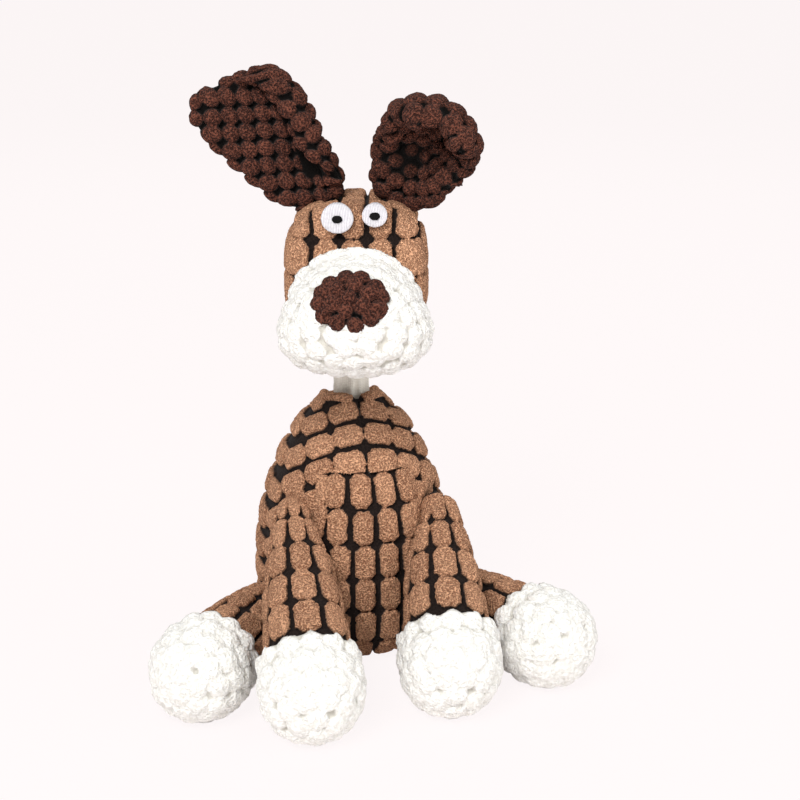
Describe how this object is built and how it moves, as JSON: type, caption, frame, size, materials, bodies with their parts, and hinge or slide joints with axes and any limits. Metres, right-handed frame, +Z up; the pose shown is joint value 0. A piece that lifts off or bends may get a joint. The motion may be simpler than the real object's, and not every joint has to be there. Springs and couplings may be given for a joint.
{
  "type": "squeaky dog toy",
  "caption": "Sitting stuffed plush dog with knobbly plush panels, turned head, one folded and one cupped ear, stuffed legs and a bellows squeaker in its belly.",
  "frame": {"origin": "on the floor, under the torso's upright axis, in the middle of the flat seat", "axes": "+Z up, the toy faces -Y, its left side at +X"},
  "size_m": [0.2096, 0.1755, 0.287],
  "materials": {
    "brown_plush": "cut terry blocks in rows on a dark knit backing",
    "white_plush": "soft knobbly pile",
    "dark_plush": "round pile knobs in a grid on a dark knit backing",
    "cream_cloth": "plain woven cotton, gathered",
    "white_thread": "satin stitch embroidery",
    "black_thread": "satin stitch embroidery",
    "stuffing": "loose polyester fibre",
    "squeaker_plastic": "blow moulded, translucent white"
  },
  "bodies": {
    "torso": {"torso_side_right": "brown_plush", "torso_side_left": "brown_plush", "belly_panel": "brown_plush", "torso_stuffing_front": "stuffing", "torso_stuffing_rear": "stuffing", "squeaker_base": "squeaker_plastic", "squeaker_bellows": "squeaker_plastic", "squeaker_whistle": "squeaker_plastic", "squeaker_reed": "squeaker_plastic"},
    "squeaker_crown": {"squeaker_crown": "squeaker_plastic"},
    "neck": {"neck_sleeve": "cream_cloth", "neck_stuffing": "stuffing"},
    "head": {"head_cover": "brown_plush", "muzzle_cover": "white_plush", "head_stuffing": "stuffing", "nose_patch": "dark_plush", "right_eye_patch": "white_thread", "left_eye_patch": "white_thread", "right_pupil": "black_thread", "left_pupil": "black_thread"},
    "right_ear": {"right_ear_back": "dark_plush", "right_ear_front": "dark_plush"},
    "left_ear": {"left_ear_back": "dark_plush", "left_ear_front": "dark_plush"},
    "right_front_leg": {"right_front_leg_sleeve": "brown_plush", "right_front_paw": "white_plush", "right_front_leg_stuffing": "stuffing"},
    "left_front_leg": {"left_front_leg_sleeve": "brown_plush", "left_front_paw": "white_plush", "left_front_leg_stuffing": "stuffing"},
    "right_hind_leg": {"right_hind_leg_sleeve": "brown_plush", "right_hind_paw": "white_plush", "right_hind_leg_stuffing": "stuffing"},
    "left_hind_leg": {"left_hind_leg_sleeve": "brown_plush", "left_hind_paw": "white_plush", "left_hind_leg_stuffing": "stuffing"}
  },
  "joints": [
    {"name": "neck_nod", "type": "hinge", "parent": "torso", "child": "neck", "pos_m": [0, 0, 0.126], "axis": [1, 0, 0], "range_deg": [-20, 20], "stiffness_Nm_per_rad": 0.5},
    {"name": "head_turn", "type": "hinge", "parent": "neck", "child": "head", "pos_m": [0, 0, 0.158], "axis": [0, 0, 1], "range_deg": [-31, 59], "stiffness_Nm_per_rad": 0.1},
    {"name": "right_ear_flop", "type": "hinge", "parent": "head", "child": "right_ear", "pos_m": [-0.01935, -0.01064, 0.22731], "axis": [0.9058, -0.2258, 0.3584], "range_deg": [-30, 30], "stiffness_Nm_per_rad": 0.03},
    {"name": "left_ear_flop", "type": "hinge", "parent": "head", "child": "left_ear", "pos_m": [0.01849, -0.02007, 0.22731], "axis": [0.9058, -0.2258, -0.3584], "range_deg": [-30, 25], "stiffness_Nm_per_rad": 0.03},
    {"name": "right_front_leg_swing", "type": "hinge", "parent": "torso", "child": "right_front_leg", "pos_m": [-0.03515, -0.02747, 0.076], "axis": [-1, 0, 0], "range_deg": [0, 45], "stiffness_Nm_per_rad": 0.05},
    {"name": "left_front_leg_swing", "type": "hinge", "parent": "torso", "child": "left_front_leg", "pos_m": [0.03515, -0.02747, 0.076], "axis": [-1, 0, 0], "range_deg": [0, 45], "stiffness_Nm_per_rad": 0.05},
    {"name": "right_hind_leg_splay", "type": "hinge", "parent": "torso", "child": "right_hind_leg", "pos_m": [-0.04691, -0.01169, 0.024], "axis": [0, 0, -1], "range_deg": [0, 55], "stiffness_Nm_per_rad": 0.05},
    {"name": "left_hind_leg_splay", "type": "hinge", "parent": "torso", "child": "left_hind_leg", "pos_m": [0.04691, -0.01169, 0.024], "axis": [0, 0, 1], "range_deg": [0, 55], "stiffness_Nm_per_rad": 0.05},
    {"name": "squeaker_squeeze", "type": "slide", "parent": "torso", "child": "squeaker_crown", "axis": [0, 1, 0], "range_m": [0, 0.009], "stiffness_N_per_m": 200, "deforming": ["squeaker_bellows"]}
  ]
}
